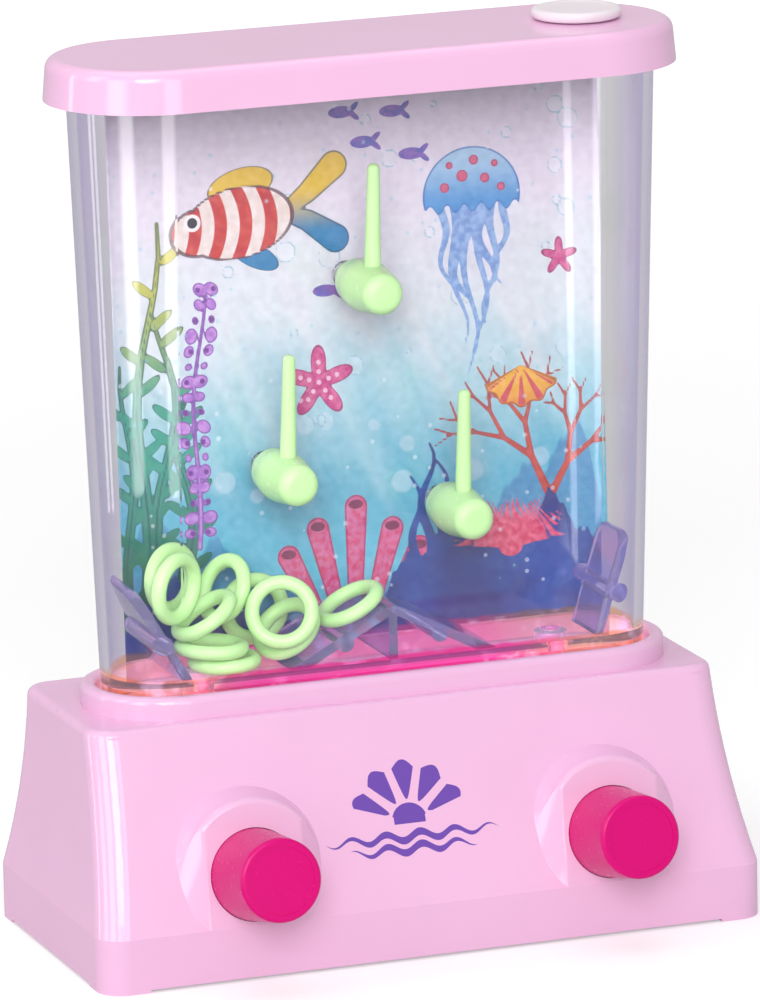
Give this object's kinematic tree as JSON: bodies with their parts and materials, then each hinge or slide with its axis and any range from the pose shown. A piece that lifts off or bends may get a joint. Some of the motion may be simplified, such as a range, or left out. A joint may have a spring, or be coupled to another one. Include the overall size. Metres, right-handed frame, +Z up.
{
  "type": "water ring toss game",
  "caption": "Desk-size water toy: a clear flared tank with pegs, ramps and loose rings on a hollow base whose sprung front buttons pump jets through the tank floor.",
  "frame": {"origin": "on the floor, under the middle of the whole toy with its buttons", "axes": "+Z up, -Y towards the buttons' side, +X to the right of someone facing the buttons"},
  "size_m": [0.11, 0.0653, 0.1428],
  "materials": {
    "pink_plastic": "glossy moulded pale pink plastic",
    "magenta_plastic": "glossy moulded magenta plastic",
    "clear_plastic": "clear moulded plastic with a faint lilac edge",
    "clear_ramp": "clear moulded plastic, smoky violet at its edges",
    "green_plastic": "smooth light green plastic, slightly see-through",
    "soft_plug": "soft off-white plug",
    "picture_sheet": null,
    "screw_steel": "plated steel screws",
    "duct_plastic": "plain white moulded plastic",
    "soft_rubber": "soft pale rubber"
  },
  "bodies": {
    "base": {"base_housing": "pink_plastic", "lid": "pink_plastic", "base_cover": "pink_plastic", "cover_screws": "screw_steel", "tank": "clear_plastic", "picture_label": "picture_sheet", "peg_top": "green_plastic", "peg_left": "green_plastic", "peg_right": "green_plastic", "ramp_left": "clear_ramp", "ramp_middle": "clear_ramp", "ramp_right": "clear_ramp", "pump_bellows_left": "soft_rubber", "pump_duct_left": "duct_plastic", "duct_seal_left": "soft_rubber", "jet_nozzle_left": "duct_plastic", "pump_bellows_right": "soft_rubber", "pump_duct_right": "duct_plastic", "duct_seal_right": "soft_rubber", "jet_nozzle_right": "duct_plastic"},
    "button_left": {"button_left": "magenta_plastic"},
    "button_right": {"button_right": "magenta_plastic"},
    "stopper": {"filler_stopper": "soft_plug"},
    "rings": {"ring_01": "green_plastic", "ring_02": "green_plastic", "ring_03": "green_plastic", "ring_04": "green_plastic", "ring_05": "green_plastic", "ring_06": "green_plastic", "ring_07": "green_plastic", "ring_08": "green_plastic", "ring_09": "green_plastic", "ring_10": "green_plastic"}
  },
  "joints": [
    {"name": "left_button_press", "type": "slide", "parent": "base", "child": "button_left", "axis": [0, 0.9848, -0.1736], "range_m": [0, 0.007], "stiffness_N_per_m": 300, "springref_m": -0.003, "deforming": ["pump_bellows_left"]},
    {"name": "right_button_press", "type": "slide", "parent": "base", "child": "button_right", "axis": [0, 0.9848, -0.1736], "range_m": [0, 0.007], "stiffness_N_per_m": 300, "springref_m": -0.003, "deforming": ["pump_bellows_right"]},
    {"name": "stopper_lift", "type": "slide", "parent": "base", "child": "stopper", "axis": [0, 0, 1], "range_m": [0, 0.012]},
    {"name": "rings_lift", "type": "slide", "parent": "base", "child": "rings", "axis": [0, 0, 1], "range_m": [0, 0.008]}
  ]
}
